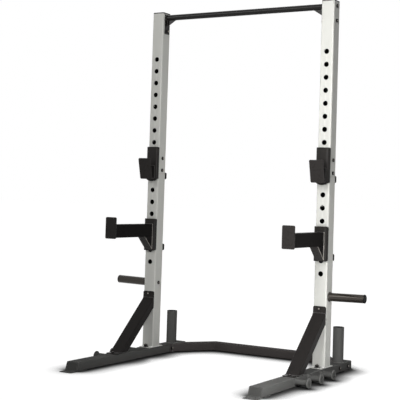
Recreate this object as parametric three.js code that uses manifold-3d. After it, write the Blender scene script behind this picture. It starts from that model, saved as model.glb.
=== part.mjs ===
// Half rack: two drilled uprights on long feet, a pull-up bar, a rear crossmember,
// two bar hooks and two spotter arms that pull out of the uprights' holes.
// Millimetres. +Z is up, -Y is the lifter's side and +X is the right-hand upright.
// The finished group stands with its origin at the middle of its footprint.
import * as THREE from 'three';
import { mergeVertices } from 'three/addons/utils/BufferGeometryUtils.js';
import Module from 'manifold-3d';

const wasm = await Module();
wasm.setup();

// Whole rack
const overallHeight = 2159;
const uprightSpacing = 1175;

// Clearances and working allowances
const fitGap = 0.3;
const weldDepth = 1;
const overrun = 4;

// Uprights
const uprightSize = 80;
const uprightWall = 3;
const uprightCorner = 8;
const holePitch = 75;
const lowestHole = 585;
const plainTop = 290;
const pinHole = 26;
const seamAboveHole = 28.7;
const sleeveWall = 3;
const sleeveMargin = 1.5;
const topCapThickness = 6;
const topCapDepth = 20;
const basePlateLength = 148;
const basePlateThickness = 5;
const basePlateCorner = 4;

// Feet
const footWidth = 80;
const footHeight = 50;
const footWall = 3;
const footCorner = 5;
const footFront = 786.75;
const footFrontLean = 16.5;
const footRear = 343.8;
const footCapThickness = 3;
const footCapDepth = 18;
const floorPlateThickness = 2.5;
const floorPlateCorner = 6;
const frontPlateReach = 58.25;
const frontPlateLength = 150;
const frontPlateWidth = 83;
const rearPlateReach = 12.2;
const rearPlateLength = 110;
const rearPlateWidth = 87;

// Rear crossmember
const crossWidth = 75;
const crossHeight = 50;
const crossWall = 3;
const crossCorner = 5;
const crossCentre = 449;
const crossBendInset = 207;
const crossFootCentre = 243.5;
const crossFlangeLength = 165;
const crossFlangeOffset = -6;
const crossFlangeThickness = 5;
const crossBoltFront = 171;
const crossBoltRear = 288;
const drainHole = 14;

// Braces
const braceWidth = 80;
const braceDepth = 50;
const braceWall = 3;
const braceCorner = 6;
const braceReach = 342.5;
const braceRise = 315.5;
const bracePlate = 5;
const braceTab = 34;
const braceTabCorner = 10;
const braceUpperBolt = 20;
const braceLowerBolt = 17;

// Pull-up bar
const pullUpDiameter = 36;
const pullUpBelowTop = 32;
const pullUpPlateWidth = 50;
const pullUpPlateTop = 20;
const pullUpPlateBottom = 105;
const pullUpPlateThickness = 5;
const pullUpPlateCorner = 6;
const pullUpBoltDrop = 85;
const pullUpGussetDrop = 56;
const pullUpGussetReach = 62;
const pullUpGussetThickness = 6;
const tappedDepth = 35;
const tapRunout = 10;

// Plate storage pegs
const pegDiameter = 49;
const pegWall = 3;
const pegHeight = 455;
const pegRise = 4;
const pegLength = 219.5;
const pegFlangeDiameter = 56;
const pegFlangeThickness = 5;
const pegNutDiameter = 26;
const pegNutLength = 14;
const pegCapDiameter = 50;
const pegCapThickness = 4;
const pegCapRound = 3;
const pegCapDepth = 22;

// Bar storage tubes
const holderDiameter = 65;
const holderWall = 3;
const holderHeight = 206.5;
const holderCentre = 233.65;

// Band pegs
const bandPegPlaces = { front: -405, middle: -245, rear: -85 };
const bandPegHeight = 31;
const bandPegLength = 80;
const bandPegShaft = 34;
const bandPegRoot = 46;
const bandPegFlare = 14;
const bandPegFlange = 54;
const bandPegFlangeThickness = 6;

// Bracket shared by the hooks and the arms
const bracketWidth = 86;
const bracketStandOff = 23;
const bracketWall = 4;
const bracketBend = 18;
const bracketReturn = 22;
const bracketAbovePeg = 45.5;
const bracketCorner = 5;
const padWidth = 50;
const padMargin = 3;
const padCorner = 12;
const insertDiameter = 24;
const insertReach = 30;
const insertChamfer = 3;
const armTubeWidth = 50;
const armTubeHeight = 80;
const armTubeWall = 4;
const armTubeCorner = 5;
const ventHole = 30;

// Bar hooks, with all but the first height counted from the lock pin's hole
const hookHeight = 1110;
const hookBelow = 19;
const hookFootRise = 17;
const hookTubeBottom = -2;
const hookLipWidth = 88;
const hookLipTop = 120;
const hookLipBottom = -8;
const hookLipTopReach = 105.5;
const hookLipBottomReach = 75.5;
const hookLipThickness = 6;
const lipCorner = 8;

// Spotter arms, with all but the first height counted from the lock pin's hole
const armHeight = 660;
const armBelow = 3;
const armFootCut = 6;
const armTubeBottom = 82.5;
const armReach = 425.5;
const armPlateWidth = 77;
const armPlateTop = 205;
const armPlateBottom = 77;
const armPlateThickness = 6;
const strutReach = 102.5;
const strutThickness = 7;
const strutWidth = 50;
const strutFoot = 6;
const gussetThickness = 4;

// Lock pins
const lockPinDiameter = 24;
const lockPinBite = 12;
const lockHandleHeight = 42;
const lockHandleThickness = 16.5;
const lockHandleRise = 16.5;
const lockHandleCorner = 9;

// Bolts
const boltDiameter = 10;
const boltHead = 20;
const boltHeadHeight = 7;
const nutSize = 18;
const nutHeight = 8;
const boltTail = 3;
const boltClearance = 0.6;

// Faces that a round or rounded form is drawn with
const cornerSteps = 2;
const archSteps = 8;
const boltSides = 8;
const pinSides = 12;
const turnedSides = 16;
const roundSides = 24;
const hexSides = 6;

// Colours
const silver = { color: 0xb4b5b1, roughness: 0.38, metalness: 0.25 };
const charcoal = { color: 0x464745, roughness: 0.5, metalness: 0.1 };
const black = { color: 0x1b1a19, roughness: 0.45, metalness: 0.1 };
const plastic = { color: 0x141414, roughness: 0.6, metalness: 0 };
const bronze = { color: 0x3c3835, roughness: 0.35, metalness: 0.5 };
const zinc = { color: 0x6e6d69, roughness: 0.35, metalness: 0.8 };

// Places worked out from the sizes above
const uprightHalf = uprightSize / 2;
const footTop = floorPlateThickness + footHeight;
const footMiddle = floorPlateThickness + footHeight / 2;
const basePlateTop = footTop + basePlateThickness;
const holeHeight = (index) => lowestHole + holePitch * index;
const holeAt = (height) => Math.round((height - lowestHole) / holePitch);
const holeCount = Math.floor((overallHeight - plainTop - lowestHole) / holePitch) + 1;
const hookHole = holeAt(hookHeight);
const armHole = holeAt(armHeight);
const seamHeight = holeHeight(hookHole) + seamAboveHole;
const uprightTop = overallHeight - topCapThickness;
const pullUpHeight = overallHeight - pullUpBelowTop;
const spliceBoltHeights = {
  lower: (holeHeight(hookHole) + holeHeight(hookHole + 1)) / 2 + pinHole / 2,
  upper: (holeHeight(hookHole + 1) + holeHeight(hookHole + 2)) / 2 + pinHole / 2,
};
const frontPlateTip = footFront + frontPlateReach;
const rearPlateTip = footRear + rearPlateReach;
const crossBend = uprightSpacing / 2 - crossBendInset;
const rearReach = crossCentre + crossWidth / 2;

const X = new THREE.Vector3(1, 0, 0);
const Y = new THREE.Vector3(0, 1, 0);
const Z = new THREE.Vector3(0, 0, 1);
const point = (x, y, z) => new THREE.Vector3(x, y, z);
const flat = (x, y) => new THREE.Vector2(x, y);

// Closed outlines, counter-clockwise round the origin
function rectangle(width, height, corner = 0) {
  if (corner === 0) {
    const [x, y] = [width / 2, height / 2];
    return [flat(x, y), flat(-x, y), flat(-x, -y), flat(x, -y)];
  }
  const points = [];
  const centres = [[1, 1], [-1, 1], [-1, -1], [1, -1]];
  centres.forEach(([sideX, sideY], quarter) => {
    for (let step = 0; step <= cornerSteps; step += 1) {
      const angle = (Math.PI / 2) * (quarter + step / cornerSteps);
      const x = sideX * (width / 2 - corner) + corner * Math.cos(angle);
      const y = sideY * (height / 2 - corner) + corner * Math.sin(angle);
      points.push(flat(x, y));
    }
  });
  return points;
}

function circle(diameter, sides) {
  return Array.from({ length: sides }, (unused, index) => {
    const angle = (2 * Math.PI * (index + 1 / 2)) / sides;
    return flat((diameter / 2) * Math.cos(angle), (diameter / 2) * Math.sin(angle));
  });
}

function section(outline, opening) {
  const shape = new THREE.Shape(outline);
  if (opening) {
    shape.holes.push(new THREE.Path(opening));
  }
  return shape;
}

function tubeSection(width, height, wall, corner) {
  const inner = rectangle(width - 2 * wall, height - 2 * wall, corner - wall);
  return section(rectangle(width, height, corner), inner);
}

// Solids and their joins
function solidOf(geometry) {
  geometry.deleteAttribute('normal');
  geometry.deleteAttribute('uv');
  const merged = mergeVertices(geometry);
  return new wasm.Manifold(new wasm.Mesh({
    numProp: 3,
    vertProperties: new Float32Array(merged.attributes.position.array),
    triVerts: new Uint32Array(merged.index.array),
  }));
}

function geometryOf(solid) {
  const mesh = solid.getMesh();
  const geometry = new THREE.BufferGeometry();
  geometry.setAttribute('position', new THREE.BufferAttribute(mesh.vertProperties, 3));
  geometry.setIndex(new THREE.BufferAttribute(mesh.triVerts, 1));
  return geometry;
}

const join = (...solids) => solids.reduce((whole, solid) => whole.add(solid));
const cut = (solid, ...tools) => tools.reduce((whole, tool) => whole.subtract(tool), solid);

// One cut end of a straight run: the section's axes slid along the run into the cutting plane
function station(at, along, across, normal) {
  const up = along.clone().cross(across);
  const slide = (axis) => {
    const shift = axis.dot(normal) / along.dot(normal);
    return axis.clone().addScaledVector(along, -shift);
  };
  return { at, across: slide(across), up: slide(up) };
}

// Carries a section through its stations, with a straight run between each two
function sweep(shape, stations) {
  const runs = stations.length - 1;
  const geometry = new THREE.ExtrudeGeometry(shape, { depth: runs, steps: runs, bevelEnabled: false });
  const places = geometry.attributes.position;
  for (let index = 0; index < places.count; index += 1) {
    const { at, across, up } = stations[Math.round(places.getZ(index))];
    const place = at.clone();
    place.addScaledVector(across, places.getX(index));
    place.addScaledVector(up, places.getY(index));
    places.setXYZ(index, place.x, place.y, place.z);
  }
  return solidOf(geometry);
}

// A straight run with both ends square, or cut along the planes given
function run(shape, from, to, across, fromNormal, toNormal) {
  const along = to.clone().sub(from).normalize();
  const first = station(from, along, across, fromNormal ?? along);
  const last = station(to, along, across, toNormal ?? along);
  return sweep(shape, [first, last]);
}

function cylinder(diameter, from, to, sides = boltSides) {
  const along = to.clone().sub(from);
  const across = Math.abs(along.z) > Math.abs(along.x) + Math.abs(along.y) ? X : Z;
  return run(section(circle(diameter, sides)), from, to, across);
}

// A plate whose outline is drawn in the plane of two axes, from one depth to another
function plate(outline, across, up, depthFrom, depthTo, middle = point(0, 0, 0)) {
  const along = across.clone().cross(up);
  const from = middle.clone().addScaledVector(along, depthFrom);
  const to = middle.clone().addScaledVector(along, depthTo);
  return sweep(section(outline), [{ at: from, across, up }, { at: to, across, up }]);
}

// Turned forms: a profile of [radius, distance] pairs spun about an axis that starts at a point
function turned(profile, start, axis, sides) {
  const points = profile.map(([radius, along]) => flat(radius, along));
  const geometry = new THREE.LatheGeometry(points, sides, Math.PI / sides);
  geometry.applyQuaternion(new THREE.Quaternion().setFromUnitVectors(Y, axis));
  geometry.translate(start.x, start.y, start.z);
  return solidOf(geometry);
}

// A bolt from its head's seat to its nut's seat, with the nut on it
function bolt(headSeat, nutSeat) {
  const along = nutSeat.clone().sub(headSeat).normalize();
  const across = Math.abs(along.z) > 1 / 2 ? X : Z;
  const beyond = (from, distance) => from.clone().addScaledVector(along, distance);
  const hex = (size) => section(circle(size, hexSides));
  const head = run(hex(boltHead), beyond(headSeat, -boltHeadHeight), headSeat, across);
  const nut = run(hex(nutSize), nutSeat, beyond(nutSeat, nutHeight), across);
  const shankStart = beyond(headSeat, -weldDepth);
  const shankEnd = beyond(nutSeat, nutHeight + boltTail);
  return join(head, cylinder(boltDiameter, shankStart, shankEnd), nut);
}

// A bolt without a nut, from its head's seat to its tip
function screw(headSeat, tip) {
  const along = tip.clone().sub(headSeat).normalize();
  const across = Math.abs(along.z) > 1 / 2 ? X : Z;
  const top = headSeat.clone().addScaledVector(along, -boltHeadHeight);
  const head = run(section(circle(boltHead, hexSides)), top, headSeat, across);
  return join(head, cylinder(boltDiameter, headSeat.clone().addScaledVector(along, -weldDepth), tip));
}

const boltHole = boltDiameter + 2 * boltClearance;

function boltBore(from, to) {
  const along = to.clone().sub(from).normalize();
  const start = from.clone().addScaledVector(along, -overrun);
  const end = to.clone().addScaledVector(along, overrun);
  return cylinder(boltHole, start, end);
}

// Uprights

// The pin holes from one index up to another, through the front and the back wall
function pinHoles(firstIndex, lastIndex) {
  const bores = [];
  for (let index = firstIndex; index <= lastIndex; index += 1) {
    const front = point(0, -uprightHalf - overrun, holeHeight(index));
    const back = point(0, uprightHalf + overrun, holeHeight(index));
    bores.push(cylinder(pinHole, front, back, pinSides));
  }
  return bores;
}

const acrossUpright = (height) => boltBore(point(-uprightHalf, 0, height), point(uprightHalf, 0, height));
const spliceBores = () => Object.values(spliceBoltHeights).map(acrossUpright);

const uprightTube = (bottom, top) => run(
  tubeSection(uprightSize, uprightSize, uprightWall, uprightCorner),
  point(0, 0, bottom),
  point(0, 0, top),
  X,
);

const braceBoltHeight = footTop + braceRise + braceUpperBolt;
const braceBoltFront = -uprightHalf - braceReach - braceLowerBolt;

function makeUprightLower() {
  const tube = uprightTube(basePlateTop - weldDepth, seamHeight);
  const outline = rectangle(uprightSize, basePlateLength, basePlateCorner);
  const base = plate(outline, X, Y, footTop, basePlateTop);
  const pegBore = acrossUpright(pegHeight);
  const front = point(0, -uprightHalf, braceBoltHeight);
  const braceBore = boltBore(front, point(0, uprightWall - uprightHalf, braceBoltHeight));
  return cut(join(tube, base), pegBore, braceBore, ...pinHoles(0, hookHole));
}

function makeUprightUpper() {
  const tube = uprightTube(seamHeight, uprightTop);
  const barBores = [pullUpHeight, pullUpHeight - pullUpBoltDrop].map(acrossUpright);
  return cut(tube, ...spliceBores(), ...barBores, ...pinHoles(hookHole + 1, holeCount - 1));
}

const uprightBore = uprightSize - 2 * uprightWall - 2 * fitGap;
const uprightBoreCorner = uprightCorner - uprightWall;

function makeSpliceSleeve() {
  const shape = tubeSection(uprightBore, uprightBore, sleeveWall, uprightBoreCorner);
  const bottom = holeHeight(hookHole - 1) + pinHole / 2 + sleeveMargin;
  const top = holeHeight(hookHole + 2) - pinHole / 2 - sleeveMargin;
  const sleeve = run(shape, point(0, 0, bottom), point(0, 0, top), X);
  return cut(sleeve, ...spliceBores(), ...pinHoles(hookHole, hookHole + 1));
}

function makeTopCap() {
  const lid = plate(rectangle(uprightSize, uprightSize, uprightCorner), X, Y, uprightTop, overallHeight);
  const plugOutline = rectangle(uprightBore, uprightBore, uprightBoreCorner);
  const plug = plate(plugOutline, X, Y, uprightTop - topCapDepth, uprightTop + weldDepth);
  return join(lid, plug);
}

// Feet

const footTube = () => tubeSection(footWidth, footHeight, footWall, footCorner);
const footSlope = point(0, footFrontLean, footHeight).normalize();
const footFrontNormal = X.clone().cross(footSlope).negate();

// Where the foot's axis meets a plane this far behind the slanted front face
function footFrontStation(depth) {
  return point(0, -footFront + depth / Math.abs(footFrontNormal.y), footMiddle);
}

function makeFootRail() {
  const rear = point(0, footRear - footCapThickness, footMiddle);
  const front = footFrontStation(footCapThickness);
  const tube = run(footTube(), rear, front, X, null, footFrontNormal);
  const frontOutline = rectangle(frontPlateWidth, frontPlateLength, floorPlateCorner);
  const rearOutline = rectangle(rearPlateWidth, rearPlateLength, floorPlateCorner);
  const frontMiddle = point(0, frontPlateLength / 2 - frontPlateTip, 0);
  const rearMiddle = point(0, rearPlateTip - rearPlateLength / 2, 0);
  const frontPlate = plate(frontOutline, X, Y, 0, floorPlateThickness, frontMiddle);
  const rearPlate = plate(rearOutline, X, Y, 0, floorPlateThickness, rearMiddle);
  const side = footWidth / 2;
  const crossBores = [crossBoltFront, crossBoltRear].map((place) => (
    boltBore(point(-side, place, footMiddle), point(side, place, footMiddle))
  ));
  const braceTop = point(0, braceBoltFront, footTop);
  const braceBore = boltBore(braceTop, point(0, braceBoltFront, footTop - footWall));
  return cut(join(tube, frontPlate, rearPlate), braceBore, ...crossBores);
}

const footPlugWidth = footWidth - 2 * footWall - 2 * fitGap;
const footPlugHeight = footHeight - 2 * footWall - 2 * fitGap;
const footPlugOutline = () => rectangle(footPlugWidth, footPlugHeight, footCorner - footWall);

function makeFootFrontCap() {
  const faceShape = section(rectangle(footWidth, footHeight, footCorner));
  const [outer, inner] = [footFrontStation(0), footFrontStation(footCapThickness)];
  const face = run(faceShape, inner, outer, X, footFrontNormal, footFrontNormal);
  const plugStart = footFrontStation(footCapThickness - weldDepth);
  const plugEnd = footFrontStation(footCapDepth);
  const plug = run(section(footPlugOutline()), plugEnd, plugStart, X, footFrontNormal, footFrontNormal);
  return join(face, plug);
}

function makeFootRearCap() {
  const faceShape = section(rectangle(footWidth, footHeight, footCorner));
  const faceStart = point(0, footRear - footCapThickness, footMiddle);
  const face = run(faceShape, faceStart, point(0, footRear, footMiddle), X);
  const plugStart = point(0, footRear - footCapDepth, footMiddle);
  const plugEnd = point(0, footRear - footCapThickness + weldDepth, footMiddle);
  return join(face, run(section(footPlugOutline()), plugStart, plugEnd, X));
}

// Rear crossmember: a straight middle and two mitred ends that run forward to the feet

function makeCrossmember() {
  const inside = uprightSpacing / 2 - footWidth / 2;
  const places = [
    point(-inside, crossFootCentre, footMiddle),
    point(-crossBend, crossCentre, footMiddle),
    point(crossBend, crossCentre, footMiddle),
    point(inside, crossFootCentre, footMiddle),
  ];
  const directions = [0, 1, 2].map((index) => places[index + 1].clone().sub(places[index]).normalize());
  const normals = [
    X,
    directions[0].clone().add(directions[1]),
    directions[1].clone().add(directions[2]),
    X,
  ];
  const stations = places.map((at, index) => {
    const along = directions[Math.min(index, directions.length - 1)];
    const across = along.clone().cross(Z).negate();
    return station(at, along, across, normals[index]);
  });
  const shape = tubeSection(crossWidth, crossHeight, crossWall, crossCorner);
  const tube = sweep(shape, stations);
  const flanges = [-1, 1].map((side) => crossFlange(side, inside));
  const drains = [-1, 1].map((side) => {
    const place = point(side * crossBend, crossCentre, 0);
    return cylinder(drainHole, place, place.clone().setZ(footMiddle));
  });
  return cut(join(tube, ...flanges), ...drains);
}

function crossFlange(side, inside) {
  const middle = point(0, crossFootCentre + crossFlangeOffset, footMiddle);
  const outline = rectangle(crossFlangeLength, crossHeight, crossCorner);
  const [near, far] = [side * inside, side * (inside - crossFlangeThickness)];
  const whole = plate(outline, Y, Z, Math.min(near, far), Math.max(near, far), middle);
  const bores = [crossBoltFront, crossBoltRear].map((place) => (
    boltBore(point(near, place, footMiddle), point(far, place, footMiddle))
  ));
  return cut(whole, ...bores);
}

// Braces between the feet and the uprights

function makeBrace() {
  const foot = point(0, -uprightHalf - braceReach, footTop);
  const head = point(0, -uprightHalf, footTop + braceRise);
  const along = head.clone().sub(foot).normalize();
  const inward = along.clone().cross(X);
  const axisStart = foot.clone().addScaledVector(inward, braceDepth / 2);
  const footCut = (bracePlate - weldDepth - inward.z * (braceDepth / 2)) / along.z;
  const headCut = (-inward.y * (braceDepth / 2) - bracePlate + weldDepth) / along.y;
  const from = axisStart.clone().addScaledVector(along, footCut);
  const to = head.clone().addScaledVector(inward, braceDepth / 2).addScaledVector(along, headCut);
  const tube = run(tubeSection(braceWidth, braceDepth, braceWall, braceCorner), from, to, X, Z, Y);
  const footSpan = braceDepth / along.z + braceTab;
  const headSpan = braceDepth / along.y + braceTab;
  const footMid = point(0, foot.y - braceTab + footSpan / 2, 0);
  const headMid = point(0, 0, head.z + braceTab - headSpan / 2);
  const footOutline = rectangle(braceWidth, footSpan, braceTabCorner);
  const footPlate = plate(footOutline, X, Y, footTop, footTop + bracePlate, footMid);
  const headOutline = rectangle(braceWidth, headSpan, braceTabCorner);
  const headPlate = plate(headOutline, X, Z, uprightHalf, uprightHalf + bracePlate, headMid);
  const ventTop = point(0, from.y, footTop + bracePlate + overrun);
  const vent = cylinder(drainHole, point(0, from.y, footTop - overrun), ventTop);
  const lowerFoot = point(0, braceBoltFront, footTop);
  const lowerBore = boltBore(lowerFoot, lowerFoot.clone().setZ(footTop + bracePlate));
  const upperFront = point(0, -uprightHalf - bracePlate, braceBoltHeight);
  const upperBore = boltBore(upperFront, point(0, -uprightHalf, braceBoltHeight));
  return cut(join(tube, footPlate, headPlate), vent, lowerBore, upperBore);
}

// Pull-up bar: a solid bar tapped at both ends, welded to a plate and a gusset at each side

function makePullUpBar() {
  const inside = uprightSpacing / 2 - uprightHalf;
  const end = inside - pullUpPlateThickness;
  const barEnd = end + weldDepth;
  const barStart = point(-barEnd, 0, pullUpHeight);
  const bar = cylinder(pullUpDiameter, barStart, point(barEnd, 0, pullUpHeight), roundSides);
  const brackets = [-1, 1].map((side) => pullUpBracket(side, inside, end));
  const taps = [-1, 1].map((side) => (
    boltBore(point(side * inside, 0, pullUpHeight), point(side * (inside - tappedDepth), 0, pullUpHeight))
  ));
  return cut(join(bar, ...brackets), ...taps);
}

function pullUpBracket(side, inside, end) {
  const plateHeight = pullUpPlateTop + pullUpPlateBottom;
  const middle = point(0, 0, pullUpHeight + pullUpPlateTop - plateHeight / 2);
  const [low, high] = side > 0 ? [end, inside] : [-inside, -end];
  const whole = plate(rectangle(pullUpPlateWidth, plateHeight, pullUpPlateCorner), Y, Z, low, high, middle);
  const lowerBolt = pullUpHeight - pullUpBoltDrop;
  const bore = boltBore(point(side * inside, 0, lowerBolt), point(side * end, 0, lowerBolt));
  const root = side * (end + weldDepth);
  const tip = side * (end - pullUpGussetReach);
  const top = pullUpHeight - pullUpDiameter / 2 + weldDepth;
  const corners = [flat(root, top), flat(root, pullUpHeight - pullUpGussetDrop), flat(tip, top)];
  const outline = side > 0 ? corners.reverse() : corners;
  const gusset = plate(outline, X, Z, -pullUpGussetThickness / 2, pullUpGussetThickness / 2);
  return join(cut(whole, bore), gusset);
}

// Storage pegs and tubes

function pegPlace(distance) {
  return point(uprightHalf + distance, 0, pegHeight + (pegRise * distance) / pegLength);
}

function makePlatePeg() {
  const end = pegLength - pegCapThickness;
  const bore = pegDiameter - 2 * pegWall;
  const flangeShape = section(circle(pegFlangeDiameter, roundSides));
  const flange = run(flangeShape, pegPlace(0), pegPlace(pegFlangeThickness), Y, X, X);
  const tubeShape = section(circle(pegDiameter, roundSides), circle(bore, roundSides));
  const tube = run(tubeShape, pegPlace(pegFlangeThickness - weldDepth), pegPlace(end), Y, X);
  const nutEnd = point(uprightHalf + pegFlangeThickness + pegNutLength, 0, pegHeight);
  const nut = cylinder(pegNutDiameter, point(uprightHalf + weldDepth, 0, pegHeight), nutEnd, pinSides);
  const tap = boltBore(point(uprightHalf, 0, pegHeight), nutEnd);
  return cut(join(flange, tube, nut), tap);
}

function makePlatePegCap() {
  const start = pegLength - pegCapThickness;
  const plugRadius = pegDiameter / 2 - pegWall - fitGap;
  const rim = pegCapDiameter / 2;
  const profile = [
    [0, -pegCapDepth],
    [plugRadius, -pegCapDepth],
    [plugRadius, 0],
    [rim, 0],
    [rim, pegCapThickness - pegCapRound],
    [rim - pegCapRound / 3, pegCapThickness - pegCapRound / 3],
    [rim - pegCapRound, pegCapThickness],
    [0, pegCapThickness],
  ];
  const axis = pegPlace(pegLength).sub(pegPlace(0)).normalize();
  return turned(profile, pegPlace(start).addScaledVector(axis, fitGap), axis, roundSides);
}

function makeBarHolder() {
  const bore = circle(holderDiameter - 2 * holderWall, roundSides);
  const shape = section(circle(holderDiameter, roundSides), bore);
  const top = footTop + holderHeight;
  return run(shape, point(0, holderCentre, footTop), point(0, holderCentre, top), X);
}

function makeBandPeg(place) {
  const shaft = bandPegShaft / 2;
  const rim = bandPegFlange / 2;
  const flangeStart = bandPegLength - bandPegFlangeThickness;
  const profile = [
    [0, 0],
    [bandPegRoot / 2, 0],
    [(bandPegRoot / 2 + shaft) / 2, bandPegFlare / 3],
    [shaft, bandPegFlare],
    [shaft, flangeStart - bandPegFlare],
    [(rim + 2 * shaft) / 3, flangeStart - bandPegFlare / 3],
    [rim, flangeStart],
    [rim, bandPegLength],
    [0, bandPegLength],
  ];
  return turned(profile, point(footWidth / 2, place, bandPegHeight), X, turnedSides);
}

// Hooks and arms: a bracket with two inserts for the pin holes, and a tube that carries the bar

const bracketFront = -uprightHalf - bracketStandOff;
const bracketTop = 2 * holePitch + bracketAbovePeg;

// The rise of a bracket's lower edge from its left end to its right end, as [across, rise] pairs
function archedFoot(rise) {
  const half = bracketWidth / 2;
  const radius = (half ** 2 + rise ** 2) / (2 * rise);
  return Array.from({ length: archSteps + 1 }, (unused, step) => {
    const across = half * ((2 * step) / archSteps - 1);
    return [across, radius - Math.sqrt(radius ** 2 - across ** 2)];
  });
}

function cutFoot(corner) {
  const half = bracketWidth / 2;
  return [[-half, corner], [corner - half, 0], [half - corner, 0], [half, corner]];
}

// A channel open to the back, with a shaped lower edge
function bracketChannel(below, foot) {
  const half = bracketWidth / 2;
  const height = bracketTop + below;
  const depth = 2 * bracketBend + overrun;
  const middleY = bracketFront + depth / 2;
  const outer = run(
    section(rectangle(bracketWidth, depth, bracketBend)),
    point(0, middleY, -below),
    point(0, middleY, bracketTop),
    X,
  );
  const innerMiddleY = middleY + bracketWall;
  const inner = run(
    section(rectangle(bracketWidth - 2 * bracketWall, depth, bracketBend - bracketWall)),
    point(0, innerMiddleY, -below - overrun),
    point(0, innerMiddleY, bracketTop + overrun),
    X,
  );
  const keepFrom = -bracketFront - bracketReturn;
  const keepMiddle = point(0, 0, (bracketTop - below) / 2);
  const corner = bracketCorner;
  const front = [
    flat(half, height / 2 - corner),
    flat(half - corner, height / 2),
    flat(corner - half, height / 2),
    flat(-half, height / 2 - corner),
    ...foot.map(([across, rise]) => flat(across, rise - height / 2)),
  ];
  const keep = plate(front, X, Z, keepFrom, keepFrom + bracketReturn + overrun, keepMiddle);
  return cut(outer, inner).intersect(keep);
}

function bracketInsert(height) {
  const root = bracketFront + weldDepth;
  const length = insertReach - uprightHalf - root;
  const radius = insertDiameter / 2;
  const profile = [
    [0, 0],
    [radius, 0],
    [radius, length - insertChamfer],
    [radius - insertChamfer, length],
    [0, length],
  ];
  return turned(profile, point(0, root, height), Y, pinSides);
}

const bracketInserts = () => [holePitch, 2 * holePitch].map(bracketInsert);

function ventBore(height) {
  const front = point(0, bracketFront - overrun, height);
  return cylinder(ventHole, front, point(0, bracketFront + bracketWall + overrun, height), pinSides);
}

const armTubeShape = () => tubeSection(armTubeWidth, armTubeHeight, armTubeWall, armTubeCorner);

function makeHook() {
  const lipTop = point(0, -uprightHalf - hookLipTopReach, hookLipTop);
  const lipBottom = point(0, -uprightHalf - hookLipBottomReach, hookLipBottom);
  const slope = lipTop.clone().sub(lipBottom);
  const lipUp = slope.clone().normalize();
  const lipMiddle = lipTop.clone().add(lipBottom).multiplyScalar(1 / 2);
  const outline = rectangle(hookLipWidth, slope.length(), lipCorner);
  const lip = plate(outline, X, lipUp, -hookLipThickness, 0, lipMiddle);
  const tubeMiddle = hookTubeBottom + armTubeHeight / 2;
  const lipNormal = X.clone().cross(lipUp);
  const meet = (tubeMiddle - lipBottom.z) / slope.z;
  const meetY = lipBottom.y + meet * slope.y + (hookLipThickness - weldDepth) / Math.abs(lipNormal.y);
  const back = point(0, bracketFront + weldDepth, tubeMiddle);
  const tube = run(armTubeShape(), back, point(0, meetY, tubeMiddle), X, null, lipNormal);
  const bracket = cut(bracketChannel(hookBelow, archedFoot(hookFootRise)), ventBore(holePitch / 2));
  return join(bracket, tube, lip, ...bracketInserts());
}

function makeSpotterArm() {
  const tubeMiddle = armTubeBottom + armTubeHeight / 2;
  const end = -uprightHalf - armReach;
  const back = point(0, bracketFront + weldDepth, tubeMiddle);
  const front = point(0, end + armPlateThickness - weldDepth, tubeMiddle);
  const tube = run(armTubeShape(), back, front, X);
  const outline = rectangle(armPlateWidth, armPlateTop - armPlateBottom, lipCorner);
  const plateMiddle = point(0, 0, (armPlateTop + armPlateBottom) / 2);
  const endPlate = plate(outline, X, Z, -end - armPlateThickness, -end, plateMiddle);
  const strutTop = point(0, -uprightHalf - strutReach, armTubeBottom);
  const strutEnd = point(0, bracketFront, strutFoot);
  const strutShape = section(rectangle(strutWidth, strutThickness));
  const lean = strutTop.clone().sub(strutEnd).normalize();
  const strutFrom = strutEnd.clone().addScaledVector(lean, -weldDepth);
  const strutTo = strutTop.clone().addScaledVector(lean, weldDepth);
  const strut = run(strutShape, strutFrom, strutTo, X, Y, Z);
  const channel = bracketChannel(armBelow, cutFoot(armFootCut));
  const bracket = cut(channel, ventBore((3 / 2) * holePitch), ventBore(holePitch / 2));
  return join(bracket, tube, endPlate, strut, ...armGussets(strutTop), ...bracketInserts());
}

// Two triangular plates that close the sides of the space between tube, strut and bracket
function armGussets(strutTop) {
  const back = bracketFront + weldDepth;
  const top = armTubeBottom + weldDepth;
  const outline = [flat(back, strutFoot), flat(back, top), flat(strutTop.y, top)];
  const [outer, inner] = [strutWidth / 2, strutWidth / 2 - gussetThickness];
  return [plate(outline, Y, Z, -outer, -inner), plate(outline, Y, Z, inner, outer)];
}

// A plastic pad that fills the bracket and bears on the upright's front face
function makePad(below) {
  const bottom = padMargin - below;
  const top = bracketTop - padMargin;
  const front = bracketFront + bracketWall + fitGap;
  const middle = point(0, 0, (top + bottom) / 2);
  const outline = rectangle(padWidth, top - bottom, padCorner);
  const body = plate(outline, X, Z, uprightHalf + fitGap, -front, middle);
  const bore = insertDiameter + 2 * fitGap;
  const bores = [0, holePitch, 2 * holePitch].map((height) => (
    cylinder(bore, point(0, front - overrun, height), point(0, -uprightHalf + overrun, height), pinSides)
  ));
  return cut(body, ...bores);
}

// A pin with a moulded handle, pushed in from behind under the inserts
function makeLockPin() {
  const handleOutline = rectangle(uprightSize, lockHandleHeight, lockHandleCorner);
  const handleBack = uprightHalf + fitGap + lockHandleThickness;
  const handleMiddle = point(0, 0, lockHandleRise);
  const handle = plate(handleOutline, X, Z, -handleBack, -uprightHalf - fitGap, handleMiddle);
  const tip = -uprightHalf - lockPinBite;
  const length = uprightHalf + fitGap + weldDepth - tip;
  const radius = lockPinDiameter / 2;
  const profile = [
    [0, 0],
    [radius - insertChamfer, 0],
    [radius, insertChamfer],
    [radius, length],
    [0, length],
  ];
  return join(handle, turned(profile, point(0, tip, 0), Y, pinSides));
}

// Fasteners

function spliceBolt(height) {
  return bolt(point(uprightHalf, 0, height), point(-uprightHalf, 0, height));
}

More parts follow.
